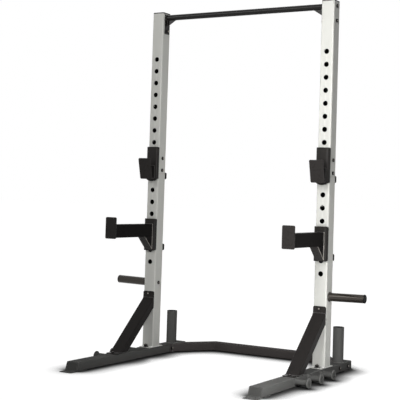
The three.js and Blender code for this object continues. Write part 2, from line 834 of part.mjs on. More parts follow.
// Runs from outside the upright into the bar's tapped end
function pullUpBoltUpper() {
  const tip = point(tapRunout - uprightHalf - tappedDepth, 0, pullUpHeight);
  return screw(point(uprightHalf, 0, pullUpHeight), tip);
}

function pullUpBoltLower() {
  const height = pullUpHeight - pullUpBoltDrop;
  return bolt(point(uprightHalf, 0, height), point(-uprightHalf - pullUpPlateThickness, 0, height));
}

function crossBolt(place) {
  const nutSeat = point(-footWidth / 2 - crossFlangeThickness, place, footMiddle);
  return bolt(point(footWidth / 2, place, footMiddle), nutSeat);
}

// Runs from inside the upright into the peg's welded nut
function pegBolt() {
  const tip = point(uprightHalf + pegFlangeThickness + pegNutLength, 0, pegHeight);
  return screw(point(-uprightHalf, 0, pegHeight), tip);
}

function braceBoltUpper() {
  const head = point(0, -uprightHalf - bracePlate, braceBoltHeight);
  return bolt(head, point(0, uprightWall - uprightHalf, braceBoltHeight));
}

function braceBoltLower() {
  const head = point(0, braceBoltFront, footTop + bracePlate);
  return bolt(head, point(0, braceBoltFront, footTop - footWall));
}

// Assembly

const rack = new THREE.Group();
rack.name = 'power_rack';
rack.position.y = (frontPlateTip - rearReach) / 2;

function addPiece(parent, name, solid, finish, place = point(0, 0, 0)) {
  const material = new THREE.MeshStandardMaterial({ ...finish, flatShading: true });
  const mesh = new THREE.Mesh(geometryOf(solid), material);
  mesh.name = name;
  mesh.position.copy(place);
  parent.add(mesh);
}

const hookPlace = point(0, 0, holeHeight(hookHole));
const armPlace = point(0, 0, holeHeight(armHole));

// Each side is modelled about its upright's centre line, and the left one is its mirror image
function addSide(side, label) {
  const group = new THREE.Group();
  group.position.x = (side * uprightSpacing) / 2;
  group.scale.x = side;
  rack.add(group);
  const add = (name, solid, finish, place) => addPiece(group, `${name}_${label}`, solid, finish, place);

  add('foot_rail', makeFootRail(), charcoal);
  add('foot_front_cap', makeFootFrontCap(), charcoal);
  add('foot_rear_cap', makeFootRearCap(), charcoal);
  add('upright_lower', makeUprightLower(), silver);
  add('upright_upper', makeUprightUpper(), silver);
  add('splice_sleeve', makeSpliceSleeve(), zinc);
  add('upright_top_cap', makeTopCap(), plastic);
  add('brace', makeBrace(), black);
  add('bar_holder', makeBarHolder(), charcoal);
  add('plate_peg', makePlatePeg(), bronze);
  add('plate_peg_cap', makePlatePegCap(), plastic);
  for (const [where, place] of Object.entries(bandPegPlaces)) {
    add(`band_peg_${where}`, makeBandPeg(place), charcoal);
  }

  add('splice_bolt_upper', spliceBolt(spliceBoltHeights.upper), zinc);
  add('splice_bolt_lower', spliceBolt(spliceBoltHeights.lower), zinc);
  add('pull_up_bolt_upper', pullUpBoltUpper(), zinc);
  add('pull_up_bolt_lower', pullUpBoltLower(), zinc);
  add('crossmember_bolt_front', crossBolt(crossBoltFront), zinc);
  add('crossmember_bolt_rear', crossBolt(crossBoltRear), zinc);
  add('peg_bolt', pegBolt(), zinc);
  add('brace_bolt_upper', braceBoltUpper(), zinc);
  add('brace_bolt_lower', braceBoltLower(), zinc);

  add('j_hook', makeHook(), black, hookPlace);
  add('j_hook_pad', makePad(hookBelow), plastic, hookPlace);
  add('j_hook_lock_pin', makeLockPin(), plastic, hookPlace);
  add('spotter_arm', makeSpotterArm(), black, armPlace);
  add('spotter_arm_pad', makePad(armBelow), plastic, armPlace);
  add('spotter_arm_lock_pin', makeLockPin(), plastic, armPlace);
}

addSide(-1, 'left');
addSide(1, 'right');
addPiece(rack, 'pull_up_bar', makePullUpBar(), black);
addPiece(rack, 'rear_crossmember', makeCrossmember(), charcoal);

export default rack;
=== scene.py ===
# Looks of the half rack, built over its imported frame.
# The sizes of the rack are in millimetres and each side piece is drawn about its upright's centre line.
# The floor, the lamps, the camera and the sizes of a coat's texture are in metres.
import math

import bmesh
import bpy
from mathutils import Matrix, Vector


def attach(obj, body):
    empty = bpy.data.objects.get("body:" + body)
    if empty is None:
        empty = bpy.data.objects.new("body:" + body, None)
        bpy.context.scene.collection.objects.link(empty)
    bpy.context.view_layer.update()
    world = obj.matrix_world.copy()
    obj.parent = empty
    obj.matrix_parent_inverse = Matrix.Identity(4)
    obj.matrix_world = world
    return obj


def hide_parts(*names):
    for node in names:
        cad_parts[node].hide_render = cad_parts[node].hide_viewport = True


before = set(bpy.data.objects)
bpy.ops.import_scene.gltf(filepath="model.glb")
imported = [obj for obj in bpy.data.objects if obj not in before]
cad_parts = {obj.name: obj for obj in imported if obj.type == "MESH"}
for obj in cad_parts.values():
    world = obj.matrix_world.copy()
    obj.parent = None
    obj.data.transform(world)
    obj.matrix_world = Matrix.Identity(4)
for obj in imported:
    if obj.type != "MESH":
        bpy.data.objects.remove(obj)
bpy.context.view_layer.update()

# Row frame
millimetre = 0.001
uprights_plane = 179.25
half_spacing = 587.5

# Uprights
upright_size = 80
upright_wall = 3
upright_corner = 8
upright_top = 2153
overall_height = 2159
hole_pitch = 75
hole_count = 18
lowest_hole = 585
pin_hole = 26
pin_hole_mouth = (30, 2)
seam_height = 1138.7
seam_gap = 1
base_plate = (80, 148, 5)
base_plate_corner = 4
base_bolt_place = 57
base_washer = (32, 2.5)
base_nut = (25, 12)
base_stud_height = 7

# Feet
foot_size = (80, 50)
foot_wall = 3
foot_corner = 5
foot_front = 786.75
foot_front_lean = 16.5
foot_rear = 343.8
foot_cap = 3
foot_cap_rim = 6
foot_cap_recess = 1.2
floor_plate = 2.5
floor_plate_corner = 6
front_plate = (83, 150, 845)
rear_plate = (87, 110, 356)

# Rear crossmember
cross_size = (75, 50)
cross_wall = 3
cross_corner = 5
cross_centre = 449
cross_bend = 380.5
cross_foot_centre = 243.5
cross_flange = (165, 50, 5)
cross_flange_offset = -6
cross_bolts = {"front": 171, "rear": 288}

# Braces
brace_size = (80, 50)
brace_wall = 3
brace_corner = 6
brace_reach = 342.5
brace_rise = 315.5
brace_plate = 5
brace_tab = 34
brace_tab_corner = 10
brace_upper_bolt = 20
brace_lower_bolt = 17

# Pull-up bar
bar_diameter = 36
bar_height = 2127
bar_plate = (50, 125, 5)
bar_plate_top = 20
bar_plate_corner = 6
bar_bolt_drop = 85
gusset_drop = 56
gusset_reach = 62
gusset_thickness = 6
gusset_bite = 1

# Plate storage pegs and bar storage tubes
peg_diameter = 49
peg_height = 455
peg_rise = 4
peg_length = 219.5
peg_flange = (56, 5)
peg_cap = (50, 4)
peg_cap_round = 3
holder_diameter = 65
holder_wall = 3
holder_height = 206.5
holder_centre = 233.65

# Band pegs
band_peg_places = {"front": -405, "middle": -245, "rear": -85}
band_peg_height = 31
band_peg_length = 80
band_peg_shaft = 17
band_peg_root = 23
band_peg_rim = 27
band_peg_rim_width = 6
band_peg_flare = 14
band_peg_dish = (15, 1.5)

# Brackets of the hooks and the arms
bracket_width = 86
bracket_stand_off = 23
bracket_wall = 4
bracket_bend = 18
bracket_return = 22
bracket_top = 195.5
bracket_corner = 5
pad_width = 50
pad_margin = 3
pad_corner = 12
fit_gap = 0.3
insert_diameter = 24
insert_reach = 30
insert_chamfer = 3
tube_size = (50, 80)
tube_wall = 4
tube_corner = 5

# Hooks, from their lock pin's hole
hook_pin_height = 1110
hook_below = 19
hook_foot_rise = 17
hook_tube_bottom = -2
hook_lip_width = 88
hook_lip = ((-105.5, 120), (-75.5, -8))
hook_lip_thickness = 6
lip_corner = 8

# Arms, from their lock pin's hole
arm_pin_height = 660
arm_below = 3
arm_foot_cut = 6
arm_tube_bottom = 82.5
arm_reach = 425.5
arm_plate = (77, 128, 6)
arm_plate_bottom = 77
strut_reach = 102.5
strut = (50, 7)
strut_foot = 6
gusset_plate = 4

# Lock pins
lock_pin_diameter = 24
lock_pin_bite = 12
lock_handle = (80, 42, 16.5)
lock_handle_rise = 16.5
lock_handle_corner = 9

# Fasteners
bolt_diameter = 10
bolt_head = (20, 7)
head_chamfer = 1.2
head_dot = (9, 0.4)
nut = (18, 8)
bolt_tail = 3
washer = (23, 1.6)
thread_pitch = 1.5
thread_depth = 0.5

# Smoothness
corner_steps = 8
round_sides = 48
hole_sides = 32
bolt_sides = 24
hex_sides = 6
arch_steps = 32
merge_distance = 0.01
edge_round = 0.8
small_edge_round = 0.5
plate_edge_round = 1.2
handle_edge_round = 3
edge_segments = 2
smooth_angle = math.radians(35)
weld_size = 5
small_weld_size = 4
painted_highlight_weld_size = 5
weld_sides = 6
weld_step = 3
weld_ripple_share = 0.12
overrun = 6

# Heights worked out from the sizes above
upright_half = upright_size / 2
foot_top = floor_plate + foot_size[1]
foot_middle = floor_plate + foot_size[1] / 2
base_plate_top = foot_top + base_plate[2]
brace_bolt_height = foot_top + brace_rise + brace_upper_bolt
brace_bolt_front = -upright_half - brace_reach - brace_lower_bolt
bracket_front = -upright_half - bracket_stand_off
hook_hole_index = round((hook_pin_height - lowest_hole) / hole_pitch)
splice_heights = {
    "lower": hook_pin_height + hole_pitch / 2 + pin_hole / 2,
    "upper": hook_pin_height + 3 * hole_pitch / 2 + pin_hole / 2,
}

X = Vector((1, 0, 0))
Y = Vector((0, 1, 0))
Z = Vector((0, 0, 1))


def at(x, y, z):
    return Vector((x, y, z))


def hole_height(index):
    return lowest_hole + hole_pitch * index


# Outlines

def rectangle(width, height, corner):
    points = []
    for quarter, (side_x, side_y) in enumerate(((1, 1), (-1, 1), (-1, -1), (1, -1))):
        for step in range(corner_steps + 1):
            angle = (math.pi / 2) * (quarter + step / corner_steps)
            x = side_x * (width / 2 - corner) + corner * math.cos(angle)
            y = side_y * (height / 2 - corner) + corner * math.sin(angle)
            points.append((x, y))
    return points


def circle(diameter, sides=round_sides):
    angles = [2 * math.pi * index / sides for index in range(sides)]
    return [(diameter / 2 * math.cos(angle), diameter / 2 * math.sin(angle)) for angle in angles]


# Forms are pairs of points and faces, and each face carries the number of its material

def together(*forms):
    points, faces = [], []
    for form_points, form_faces in forms:
        start = len(points)
        points += form_points
        faces += [([start + corner for corner in corners], mark) for corners, mark in form_faces]
    return points, faces


def remarked(form, mark):
    return form[0], [(corners, mark) for corners, unused in form[1]]


def skin(rings, mark=0, caps=(), loop=False):
    """The faces between successive rings of equally many points."""
    count = len(rings[0])
    points = [place for ring in rings for place in ring]
    faces = []
    last = len(rings) if loop else len(rings) - 1
    for level in range(last):
        low = level * count
        high = ((level + 1) % len(rings)) * count
        for index in range(count):
            after = (index + 1) % count
            faces.append(([low + index, low + after, high + after, high + index], mark))
    for level in caps:
        first = (level % len(rings)) * count
        faces.append((list(range(first, first + count)), mark))
    return points, faces


def station(at, along, across, normal):
    up = along.cross(across)
    slide = [axis - along * (axis.dot(normal) / along.dot(normal)) for axis in (across, up)]
    return at, slide[0], slide[1]


def ring(outline, place):
    at, across, up = place
    return [at + across * x + up * y for x, y in outline]


def solid(outline, stations):
    return skin([ring(outline, place) for place in stations], caps=(0, -1))


def hollow(outline, opening, stations, inner_mark=1):
    """A tube with its wall: outside, both ends and inside."""
    outside = [ring(outline, place) for place in stations]
    inside = [ring(opening, place) for place in stations]
    return together(
        skin(outside),
        skin([outside[0], inside[0]]),
        skin([outside[-1], inside[-1]]),
        # The inside takes the piece's second finish, a near black painted shade.
        skin(inside, inner_mark),
    )


def ends(start, finish, across, start_normal=None, finish_normal=None):
    along = (finish - start).normalized()
    return [
        station(start, along, across, start_normal or along),
        station(finish, along, across, finish_normal or along),
    ]


def box_tube(size, wall, corner, stations):
    inner = rectangle(size[0] - 2 * wall, size[1] - 2 * wall, corner - wall)
    return hollow(rectangle(size[0], size[1], corner), inner, stations)


def plate(outline, across, up, low, high, middle=Vector()):
    along = across.cross(up)
    return solid(outline, [(middle + along * depth, across, up) for depth in (low, high)])


def side_axis(along):
    return X if abs(along.z) > abs(along.x) + abs(along.y) else Z


def turned(profile, start, along, sides=round_sides):
    """A profile of radius and distance pairs spun about a line."""
    along = along.normalized()
    across = side_axis(along)
    across = (across - along * across.dot(along)).normalized()
    up = along.cross(across)
    rings = [ring(circle(2 * radius, sides), (start + along * far, across, up)) for radius, far in profile]
    return skin(rings, caps=(0, -1))


def rod(diameter, start, finish, sides=round_sides):
    return turned([(diameter / 2, 0), (diameter / 2, (finish - start).length)], start, finish - start, sides)


def hex_prism(size, start, along, height, chamfer):
    """A bolt head or nut whose outer edge is turned down."""
    along = along.normalized()
    across = side_axis(along)
    up = along.cross(across)
    levels = ((size, 0), (size, height - chamfer), (size - 2 * chamfer, height))
    rings = [ring(circle(width, hex_sides), (start + along * far, across, up)) for width, far in levels]
    return skin(rings, caps=(0, -1))


def thread(start, along, length):
    """A stud's end with its thread drawn as grooves."""
    radius = bolt_diameter / 2
    profile = []
    far = 0
    while far < length - thread_pitch:
        profile += [(radius, far), (radius - thread_depth, far + thread_pitch / 2)]
        far += thread_pitch
    profile += [(radius, far), (radius, length - thread_depth), (radius - thread_depth, length)]
    return turned(profile, start, along, bolt_sides)


def washer_form(seat, along, size=washer):
    diameter, height = size
    rim = small_edge_round
    profile = [(diameter / 2, 0), (diameter / 2, height - rim), (diameter / 2 - rim, height)]
    return turned(profile, seat, along, bolt_sides)


def dot(head_seat, along):
    """A small disc of light steel in the middle of a bolt's black head."""
    face = head_seat - along * bolt_head[1]
    return rod(head_dot[0], face + along * head_dot[1], face - along * head_dot[1], bolt_sides)


def bolt(head_seat, nut_seat):
    """Head, washers, shank, nut and the end that stands out of the nut."""
    along = (nut_seat - head_seat).normalized()
    head_start = head_seat - along * washer[1]
    nut_start = nut_seat + along * washer[1]
    nut_end = nut_seat + along * nut[1]
    return together(
        remarked(washer_form(head_seat, -along), 1),
        remarked(hex_prism(bolt_head[0], head_start, -along, bolt_head[1] - washer[1], head_chamfer), 1),
        dot(head_seat, along),
        rod(bolt_diameter - 2 * thread_depth, head_seat, nut_seat, bolt_sides),
        remarked(washer_form(nut_seat, along), 1),
        remarked(hex_prism(nut[0], nut_start, along, nut[1] - washer[1], head_chamfer), 1),
        thread(nut_end, along, bolt_tail),
    )


def screw(head_seat, tip):
    along = (tip - head_seat).normalized()
    head_start = head_seat - along * washer[1]
    return together(
        remarked(washer_form(head_seat, -along), 1),
        remarked(hex_prism(bolt_head[0], head_start, -along, bolt_head[1] - washer[1], head_chamfer), 1),
        dot(head_seat, along),
        rod(bolt_diameter - 2 * thread_depth, head_seat, tip, bolt_sides),
    )


def weld(corners, size, closed=False):
    """A rippled bead that follows a chain of points."""
    chain = list(corners) + ([corners[0]] if closed else [])
    centres = []
    for start, finish in zip(chain, chain[1:]):
        count = max(1, round((finish - start).length / weld_step))
        centres += [start.lerp(finish, step / count) for step in range(count)]
    if not closed:
        centres.append(chain[-1])
    rings = []
    for index, centre in enumerate(centres):
        before = centres[index - 1] if index or closed else centre
        after = centres[(index + 1) % len(centres)] if index < len(centres) - 1 or closed else centre
        along = (after - before).normalized()
        across = along.cross(side_axis(along)).normalized()
        up = along.cross(across)
        width = size * (1 + weld_ripple_share * math.cos(math.pi * index))
        rings.append(ring(circle(width, weld_sides), (centre, across, up)))
    return skin(rings, caps=() if closed else (0, -1), loop=closed)


def outline_weld(outline, across, up, middle, size):
    return weld(ring(outline, (middle, across, up)), size, closed=True)


# Materials

coats = {
    "upright_silver": {"colour": (0.45, 0.45, 0.424), "roughness": 0.33, "metallic": 0.06, "specular": 0.05},
    "frame_charcoal": {"colour": (0.082, 0.082, 0.079), "roughness": 0.6, "metallic": 0, "specular": 0.003},
    "cross_black": {"colour": (0.07, 0.063, 0.061), "roughness": 0.55, "metallic": 0, "specular": 0.003},
    "satin_black": {"colour": (0.014, 0.0124, 0.0115), "roughness": 0.28, "metallic": 0, "specular": 0.06},
    "bracket_black": {"colour": (0.0095, 0.0082, 0.0073), "roughness": 0.36, "metallic": 0, "specular": 0.12},
    "tube_black": {"colour": (0.0045, 0.0039, 0.0036), "roughness": 0.4, "metallic": 0, "specular": 0.005},
    "brace_black": {"colour": (0.008, 0.0067, 0.0061), "roughness": 0.38, "metallic": 0, "specular": 0.045},
    "gloss_black": {"colour": (0.004, 0.0035, 0.0032), "roughness": 0.1, "metallic": 0, "specular": 0.14},
    "peg_bronze": {"colour": (0.03, 0.026, 0.022), "roughness": 0.12, "metallic": 0.6, "specular": 0.3},
    "moulded_black": {"colour": (0.004, 0.004, 0.004), "roughness": 0.5, "metallic": 0, "specular": 0.04},
    "bolt_steel": {"colour": (0.2, 0.18, 0.16), "roughness": 0.35, "metallic": 0.7, "specular": 0.4},
    "bolt_black": {"colour": (0.006, 0.0055, 0.005), "roughness": 0.4, "metallic": 0, "specular": 0.06},
    # This light weld colour is painted highlight, for the bright lines along the arms' side welds.
    "weld_painted_highlight": {"colour": (0.19, 0.178, 0.162), "roughness": 0.4, "metallic": 0.3, "specular": 0.3},
    # The near black inside finish is painted shade, for the insides of tubes and the walls of the pin holes.
    "painted_shade_inside": {"colour": (0.003, 0.003, 0.003), "roughness": 0.7, "metallic": 0, "specular": 0.02},
    # The weld coats below are lighter than the paint they sit on, as painted highlight on the beads' curves.
    "weld_charcoal": {"colour": (0.12, 0.12, 0.115), "roughness": 0.5, "metallic": 0, "specular": 0.1},
    "weld_black": {"colour": (0.03, 0.0285, 0.027), "roughness": 0.35, "metallic": 0, "specular": 0.3},
    "weld_silver": {"colour": (0.6, 0.6, 0.57), "roughness": 0.35, "metallic": 0.25, "specular": 0.4},
}
mottle_scale = 7
mottle_detail = 4
mottle_share = 0.07
streak_scale = 60
streak_detail = 3
peel_scale = 900
peel_detail = 2
peel_height = 0.00012
peel_strength = 0.25
roughness_spread = 0.05
# Sharp edges and rounded corners are painted lighter, partly as worn paint and partly as painted highlight
# along the corners.
edge_wear_and_highlight_share = 0.45
edge_wear_and_highlight_start = 0.51
edge_wear_and_highlight_full = 0.57
edge_wear_and_highlight_gain = 2
edge_wear_and_highlight_lift = 0.02


def coat(name):
    """A painted or plated finish: slow mottling, orange peel, uneven gloss, and edges painted lighter as worn
    paint and as painted highlight.
    """
    look = coats[name]
    material = bpy.data.materials.new(name)
    material.use_nodes = True
    nodes = material.node_tree.nodes
    links = material.node_tree.links
    shader = nodes["Principled BSDF"]
    shader.inputs["Metallic"].default_value = look["metallic"]
    shader.inputs["Specular IOR Level"].default_value = look["specular"]
    place = nodes.new("ShaderNodeTexCoord").outputs["Object"]

    def noise(scale, detail):
        node = nodes.new("ShaderNodeTexNoise")
        node.inputs["Scale"].default_value = scale
        node.inputs["Detail"].default_value = detail
        links.new(place, node.inputs["Vector"])
        return node.outputs["Fac"]

    def remap(value, from_low, from_high, low, high):
        node = nodes.new("ShaderNodeMapRange")
        links.new(value, node.inputs["Value"])
        limits = {"From Min": from_low, "From Max": from_high, "To Min": low, "To Max": high}
        for key, number in limits.items():
            node.inputs[key].default_value = number
        return node.outputs["Result"]

    def mix(factor, second):
        node = nodes.new("ShaderNodeMix")
        node.data_type = "RGBA"
        links.new(factor, node.inputs["Factor"])
        node.inputs["B"].default_value = (*second, 1)
        return node

    dark = tuple(channel * (1 - mottle_share) for channel in look["colour"])
    light = tuple(channel * (1 + mottle_share) for channel in look["colour"])
    bright = tuple(min(1, channel * edge_wear_and_highlight_gain + edge_wear_and_highlight_lift) for channel in look["colour"])
    mottled = mix(noise(mottle_scale, mottle_detail), light)
    mottled.inputs["A"].default_value = (*dark, 1)
    # Pointiness paints the edges lighter: worn paint and painted highlight on the rounded corners.
    pointiness = nodes.new("ShaderNodeNewGeometry").outputs["Pointiness"]
    worn_and_highlit = mix(remap(pointiness, edge_wear_and_highlight_start, edge_wear_and_highlight_full, 0, edge_wear_and_highlight_share), bright)
    links.new(mottled.outputs["Result"], worn_and_highlit.inputs["A"])
    links.new(worn_and_highlit.outputs["Result"], shader.inputs["Base Color"])
    low = look["roughness"] - roughness_spread
    high = look["roughness"] + roughness_spread
    streaks = noise(streak_scale, streak_detail)
    links.new(remap(streaks, 0, 1, low, high), shader.inputs["Roughness"])
    bump = nodes.new("ShaderNodeBump")
    bump.inputs["Strength"].default_value = peel_strength
    bump.inputs["Distance"].default_value = peel_height
    links.new(noise(peel_scale, peel_detail), bump.inputs["Height"])
    links.new(bump.outputs["Normal"], shader.inputs["Normal"])
    return material


materials = {name: coat(name) for name in coats}


# Pieces

def placed(form, side):
    """A form carried to its side of the row frame, in metres."""
    shift = Vector((side * half_spacing, uprights_plane, 0))
    factor = -1 if side < 0 else 1
    points = [(Vector((factor * p.x, p.y, p.z)) + shift) * millimetre for p in form[0]]
    return points, form[1]


def mesh_of(name, form):
    points, faces = form
    mesh = bpy.data.meshes.new(name)
    mesh.from_pydata(points, [], [corners for corners, unused in faces])
    for polygon, (unused, mark) in zip(mesh.polygons, faces):
        polygon.material_index = mark
    work = bmesh.new()
    work.from_mesh(mesh)
    bmesh.ops.remove_doubles(work, verts=work.verts, dist=merge_distance * millimetre)
    bmesh.ops.recalc_face_normals(work, faces=work.faces)
    work.to_mesh(mesh)
    work.free()
    return mesh


def helper(name, form, side):
    item = bpy.data.objects.new(name, mesh_of(name, placed(form, side)))
    bpy.context.scene.collection.objects.link(item)
    return item


def piece(name, form, finishes, body="frame", replaces=None, round_edge=edge_round, cutter=None, keep=None,
          side=0, slot=None):
    """Makes a piece, trims, rounds and bores it, and puts it on its body in place of its node."""
    item = helper(name, form, side)
    for finish in finishes:
        item.data.materials.append(materials[finish])
    helpers = []

    def shape_by(tool, operation):
        other = helper(name + "_tool", tool, side)
        helpers.append(other)
        shaping = item.modifiers.new(operation, "BOOLEAN")
        shaping.operation = operation
        shaping.object = other
        shaping.solver = "EXACT"

    if keep:
        shape_by(keep, "INTERSECT")
    if round_edge:
        bevel = item.modifiers.new("rounded", "BEVEL")
        bevel.width = round_edge * millimetre
        bevel.segments = edge_segments
        bevel.limit_method = "ANGLE"
        bevel.angle_limit = smooth_angle
    if cutter:
        shape_by(cutter, "DIFFERENCE")
    bpy.context.view_layer.update()
    final = bpy.data.meshes.new_from_object(item.evaluated_get(bpy.context.evaluated_depsgraph_get()))
    item.modifiers.clear()
    item.data = final
    for other in helpers:
        bpy.data.objects.remove(other)
    final.shade_smooth()
    final.set_sharp_from_angle(angle=smooth_angle)
    weighted = item.modifiers.new("weighted", "WEIGHTED_NORMAL")
    weighted.keep_sharp = True
    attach(item, body)
    if replaces:
        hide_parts(replaces)
    return item


sides = {"left": -1, "right": 1}


def both(node, form, finishes, body="frame", stands=True, **options):
    """The same piece on both sides, in place of its two nodes or as a detail of its own."""
    for label, side in sides.items():
        own_body = body if body == "frame" else f"{body}_{label}"
        name = f"{node}_{label}"
        replaced = name if stands else None
        piece(f"{name}_look", form, finishes, body=own_body, replaces=replaced, side=side, **options)


# Uprights

def pin_bores(first, last):
    mouth, depth = pin_hole_mouth
    length = upright_size + 2 * overrun
    profile = [
        (mouth / 2, 0),
        (mouth / 2, overrun),
        (pin_hole / 2, overrun + depth),
        (pin_hole / 2, length - overrun - depth),
        (mouth / 2, length - overrun),
        (mouth / 2, length),
    ]
    bores = [
        turned(profile, at(0, -upright_half - overrun, hole_height(index)), Y, hole_sides)
        for index in range(first, last + 1)
    ]
    # The bore walls take the second finish, a near black painted shade.
    return remarked(together(*bores), 1)


def upright_tube(bottom, top):
    size = (upright_size, upright_size)
    return box_tube(size, upright_wall, upright_corner, ends(at(0, 0, bottom), at(0, 0, top), X))


upright_finishes = ["upright_silver", "painted_shade_inside"]
both("upright_lower", upright_tube(base_plate_top, seam_height - seam_gap / 2), upright_finishes,
     cutter=pin_bores(0, hook_hole_index))
both("upright_upper", upright_tube(seam_height + seam_gap / 2, upright_top), upright_finishes,
     cutter=pin_bores(hook_hole_index + 1, hole_count - 1))
base_outline = rectangle(base_plate[0], base_plate[1], base_plate_corner)
both("upright_base", plate(base_outline, X, Y, foot_top, base_plate_top), ["upright_silver"], stands=False,
     round_edge=plate_edge_round)
upright_outline = rectangle(upright_size, upright_size, upright_corner)
both("upright_base_weld", outline_weld(upright_outline, X, Y, at(0, 0, base_plate_top), weld_size),
     ["weld_silver"], stands=False, round_edge=0, slot="upright_silver")
both("upright_top_cap", plate(upright_outline, X, Y, upright_top, overall_height), ["moulded_black"],
     round_edge=plate_edge_round)


def base_bolt(place):
    seat = at(0, place, base_plate_top)
    nut_start = seat + Z * base_washer[1]
    nut_end = nut_start + Z * base_nut[1]
    return together(
        remarked(washer_form(seat, Z, base_washer), 1),
        remarked(hex_prism(base_nut[0], nut_start, Z, base_nut[1], head_chamfer), 1),
        thread(nut_end, Z, base_stud_height - base_washer[1]),
    )


bolt_finishes = ["bolt_steel", "bolt_black"]
for where, place in (("front", -base_bolt_place), ("rear", base_bolt_place)):
    both(f"base_bolt_{where}", base_bolt(place), bolt_finishes, stands=False, round_edge=0)

# Feet

foot_slope = at(0, foot_front_lean, foot_size[1]).normalized()
foot_front_normal = foot_slope.cross(X)


def foot_front_at(depth):
    return at(0, -foot_front + depth / abs(foot_front_normal.y), foot_middle)


foot_outline = rectangle(foot_size[0], foot_size[1], foot_corner)
foot_back = at(0, foot_rear - foot_cap, foot_middle)
foot_ends = ends(foot_back, foot_front_at(foot_cap), X, None, foot_front_normal)
both("foot_rail", box_tube(foot_size, foot_wall, foot_corner, foot_ends), ["frame_charcoal", "painted_shade_inside"])
for where, size, direction in (("front", front_plate, -1), ("rear", rear_plate, 1)):
    width, length, tip = size
    middle = at(0, direction * (tip - length / 2), 0)
    outline = rectangle(width, length, floor_plate_corner)
    both(f"floor_plate_{where}", plate(outline, X, Y, 0, floor_plate, middle), ["frame_charcoal"],
         stands=False)


def framed_face(normal, stations):
    """An end cap: a face with a raised frame round a shallow recess."""
    opening_size = [length - 2 * foot_cap_rim for length in foot_size]
    opening = rectangle(opening_size[0], opening_size[1], foot_corner / 2)
    back = ring(foot_outline, stations[0])
    front = ring(foot_outline, stations[1])
    rim = ring(opening, stations[1])
    floor_of_recess = [place - normal * foot_cap_recess for place in rim]
    return skin([back, front, rim, floor_of_recess], caps=(0, -1))


front_cap_ends = ends(foot_front_at(foot_cap), foot_front_at(0), X, foot_front_normal, foot_front_normal)
outward = -foot_front_normal if foot_front_normal.y > 0 else foot_front_normal
both("foot_front_cap", framed_face(outward, front_cap_ends), ["frame_charcoal"])
rear_cap_ends = ends(foot_back, at(0, foot_rear, foot_middle), X)
both("foot_rear_cap", framed_face(Y, rear_cap_ends), ["frame_charcoal"])

# Rear crossmember

foot_inside = half_spacing - foot_size[0] / 2
cross_places = [
    at(-foot_inside, cross_foot_centre, foot_middle),
    at(-cross_bend, cross_centre, foot_middle),
    at(cross_bend, cross_centre, foot_middle),
    at(foot_inside, cross_foot_centre, foot_middle),
]
cross_directions = [(after - before).normalized() for before, after in zip(cross_places, cross_places[1:])]
bend_normals = [before + after for before, after in zip(cross_directions, cross_directions[1:])]
cross_runs = cross_directions + cross_directions[-1:]
cross_stations = []
for centre, along, normal in zip(cross_places, cross_runs, [X, *bend_normals, X]):
    cross_stations.append(station(centre, along, -along.cross(Z), normal))
cross_tube = box_tube(cross_size, cross_wall, cross_corner, cross_stations)
flange_outline = rectangle(cross_flange[0], cross_flange[1], cross_corner)
flange_middle = at(0, cross_foot_centre + cross_flange_offset, foot_middle)
cross_flanges = []
for side in (-1, 1):
    low, high = sorted((side * foot_inside, side * (foot_inside - cross_flange[2])))
    cross_flanges.append(plate(flange_outline, Y, Z, low, high, flange_middle))
piece("rear_crossmember_look", together(cross_tube, *cross_flanges), ["cross_black", "painted_shade_inside"],
      replaces="rear_crossmember", slot="frame_charcoal")
cross_section = rectangle(cross_size[0], cross_size[1], cross_corner)
flush_size = [length - small_weld_size for length in cross_size]
flush_section = rectangle(flush_size[0], flush_size[1], cross_corner)
for label, index in (("left_bend", 1), ("right_bend", 2)):
    bead = weld(ring(flush_section, cross_stations[index]), small_weld_size / 2, closed=True)
    piece(f"crossmember_weld_{label}", bead, ["weld_charcoal"], round_edge=0, slot="frame_charcoal")
for label, index, side in (("left_end", 0, -1), ("right_end", 3, 1)):
    centre, across, up = cross_stations[index]
    shifted = (centre - X * side * cross_flange[2], across, up)
    bead = weld(ring(cross_section, shifted), small_weld_size, closed=True)
    piece(f"crossmember_weld_{label}", bead, ["weld_charcoal"], round_edge=0, slot="frame_charcoal")

# Braces

brace_foot = at(0, -upright_half - brace_reach, foot_top)
brace_head = at(0, -upright_half, foot_top + brace_rise)
brace_along = (brace_head - brace_foot).normalized()
brace_inward = brace_along.cross(X)
brace_depth = brace_size[1]
foot_cut = (brace_plate - brace_inward.z * brace_depth / 2) / brace_along.z
head_cut = (-brace_inward.y * brace_depth / 2 - brace_plate) / brace_along.y
brace_start = brace_foot + brace_inward * (brace_depth / 2) + brace_along * foot_cut
brace_end = brace_head + brace_inward * (brace_depth / 2) + brace_along * head_cut
brace_stations = ends(brace_start, brace_end, X, Z, Y)
both("brace", box_tube(brace_size, brace_wall, brace_corner, brace_stations), ["brace_black", "painted_shade_inside"],
     slot="satin_black")
foot_span = brace_depth / brace_along.z + brace_tab
head_span = brace_depth / brace_along.y + brace_tab
foot_plate_middle = at(0, brace_foot.y - brace_tab + foot_span / 2, 0)
foot_plate_outline = rectangle(brace_size[0], foot_span, brace_tab_corner)
foot_plate_form = plate(foot_plate_outline, X, Y, foot_top, foot_top + brace_plate, foot_plate_middle)
both("brace_foot_plate", foot_plate_form, ["satin_black"], stands=False, round_edge=plate_edge_round)
head_plate_middle = at(0, 0, brace_head.z + brace_tab - head_span / 2)
head_plate_outline = rectangle(brace_size[0], head_span, brace_tab_corner)
head_plate_face = upright_half + brace_plate
head_plate_form = plate(head_plate_outline, X, Z, upright_half, head_plate_face, head_plate_middle)
both("brace_head_plate", head_plate_form, ["satin_black"], stands=False, round_edge=plate_edge_round)
brace_section = rectangle(brace_size[0], brace_size[1], brace_corner)
brace_beads = [weld(ring(brace_section, place), small_weld_size, closed=True) for place in brace_stations]
both("brace_weld", together(*brace_beads), ["weld_black"], stands=False, round_edge=0, slot="satin_black")

# Pull-up bar

